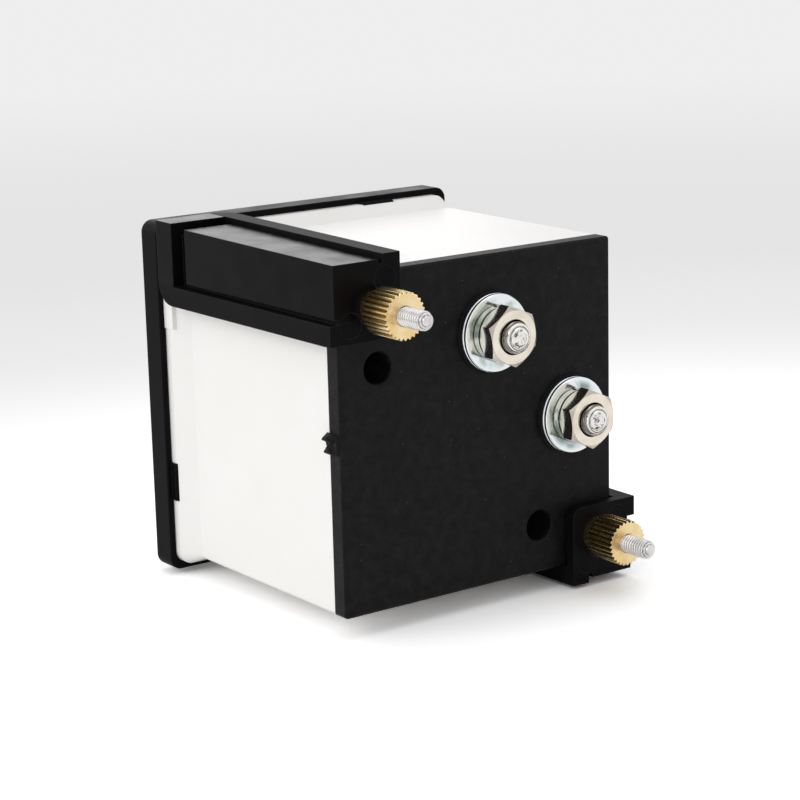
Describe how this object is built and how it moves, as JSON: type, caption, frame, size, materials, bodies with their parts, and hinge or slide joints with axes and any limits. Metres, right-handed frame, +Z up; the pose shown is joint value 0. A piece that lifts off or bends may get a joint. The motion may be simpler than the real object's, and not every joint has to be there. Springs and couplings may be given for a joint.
{
  "type": "analog panel meter",
  "caption": "Square analog panel meter: corner-pivot pointer behind a clear front, white case, black rear plate with threaded terminals, clamped in a panel by corner brackets and knurled nuts.",
  "frame": {"origin": "centre of the bezel's rear face, the plane that meets the panel", "axes": "+Y out of the back along the case, the dial faces -Y, +Z up"},
  "size_m": [0.0494, 0.0557, 0.0494],
  "materials": {
    "black_plastic": "fine grained moulding, semi-gloss on the flats",
    "white_plastic": "smooth warm white moulding",
    "clear_pane": "clear polished pane",
    "dial_face": "matt white print on sheet metal",
    "black_paint": "matt black paint on light alloy",
    "brass": "bare machined brass",
    "nickel_plate": "bright warm nickel plate on brass",
    "zinc_plate": "blue-white zinc plate",
    "spring_steel": "bright rolled steel",
    "soft_iron": "cadmium-grey plated iron",
    "magnet": "ground grey magnet alloy",
    "winding": "lacquered fine copper wire",
    "former": "bright thin strip",
    "frame_plastic": "dark grey moulding",
    "bronze": "rolled phosphor bronze",
    "tinned": "dull tin",
    "resistor_body": "glossy blue lacquer",
    "wire_jacket": "soft red sleeve"
  },
  "bodies": {
    "housing": {"bezel": "black_plastic", "bridge_screw_1": "zinc_plate", "bridge_screw_2": "zinc_plate", "case": "white_plastic", "case_screw_1": "zinc_plate", "case_screw_2": "zinc_plate", "clamp_stud_1": "zinc_plate", "clamp_stud_2": "zinc_plate", "core_lug_1": "frame_plastic", "core_lug_2": "frame_plastic", "core_magnet": "magnet", "dial": "dial_face", "dial_mask": "black_plastic", "dial_screw_1": "zinc_plate", "dial_screw_2": "zinc_plate", "front_bearing": "brass", "front_bridge": "brass", "front_spacer_1": "brass", "front_spacer_2": "brass", "inner_washer_1": "zinc_plate", "inner_washer_2": "zinc_plate", "lead_wire": "wire_jacket", "movement_frame": "frame_plastic", "outer_washer_1": "zinc_plate", "outer_washer_2": "zinc_plate", "pointer_stop_1": "black_plastic", "pointer_stop_2": "black_plastic", "rear_bearing": "brass", "rear_bridge": "brass", "rear_hairspring": "bronze", "rear_plate": "black_plastic", "rear_spacer_1": "brass", "rear_spacer_2": "brass", "series_resistor": "resistor_body", "solder_tag_1": "tinned", "solder_tag_2": "tinned", "spring_washer_1": "spring_steel", "spring_washer_2": "spring_steel", "terminal_nut_1": "nickel_plate", "terminal_nut_2": "nickel_plate", "terminal_stud_1": "nickel_plate", "terminal_stud_2": "nickel_plate", "window": "clear_pane", "yoke": "soft_iron"},
    "movement": {"coil_former": "former", "coil_winding": "winding", "front_staff": "brass", "rear_staff": "brass", "pointer": "black_paint", "tail_weight": "brass", "side_weight_1": "brass", "side_weight_2": "brass"},
    "zero_screw": {"zero_screw": "black_plastic"},
    "zero_lever": {"zero_lever": "brass", "front_hairspring": "bronze"},
    "clamp_1": {"clamp_bracket_1": "black_plastic"},
    "clamp_nut_1": {"clamp_nut_1": "brass"},
    "clamp_2": {"clamp_bracket_2": "black_plastic"},
    "clamp_nut_2": {"clamp_nut_2": "brass"}
  },
  "joints": [
    {"name": "pointer_swing", "type": "hinge", "parent": "housing", "child": "movement", "pos_m": [0.012, 0.013, -0.012], "axis": [0, 1, 0], "range_deg": [0, 90], "stiffness_Nm_per_rad": 0.000008},
    {"name": "zero_screw_turn", "type": "hinge", "parent": "housing", "child": "zero_screw", "pos_m": [0.01617, -0.002, -0.01617], "axis": [0, 1, 0], "range_deg": [-45, 45]},
    {"name": "zero_lever_turn", "type": "hinge", "parent": "housing", "child": "zero_lever", "pos_m": [0.012, 0.003, -0.012], "axis": [0, 1, 0], "range_deg": [-4.4, 4.4]},
    {"name": "clamp_1_travel", "type": "slide", "parent": "housing", "child": "clamp_1", "axis": [0, 1, 0], "range_m": [-0.00025, 0.0045]},
    {"name": "clamp_1_nut_turn", "type": "hinge", "parent": "clamp_1", "child": "clamp_nut_1", "pos_m": [0.01755, 0.044, 0.01755], "axis": [0, 1, 0], "range_deg": [-204, 3606]},
    {"name": "clamp_2_travel", "type": "slide", "parent": "housing", "child": "clamp_2", "axis": [0, 1, 0], "range_m": [-0.00025, 0.0045]},
    {"name": "clamp_2_nut_turn", "type": "hinge", "parent": "clamp_2", "child": "clamp_nut_2", "pos_m": [-0.01755, 0.044, -0.01755], "axis": [0, 1, 0], "range_deg": [-204, 3606]}
  ],
  "couplings": [
    {"joint": "zero_lever_turn", "follows": "zero_screw_turn", "ratio": -0.095},
    {"joint": "clamp_1_nut_turn", "follows": "clamp_1_travel", "rad_per_m": 13963},
    {"joint": "clamp_2_nut_turn", "follows": "clamp_2_travel", "rad_per_m": 13963}
  ]
}
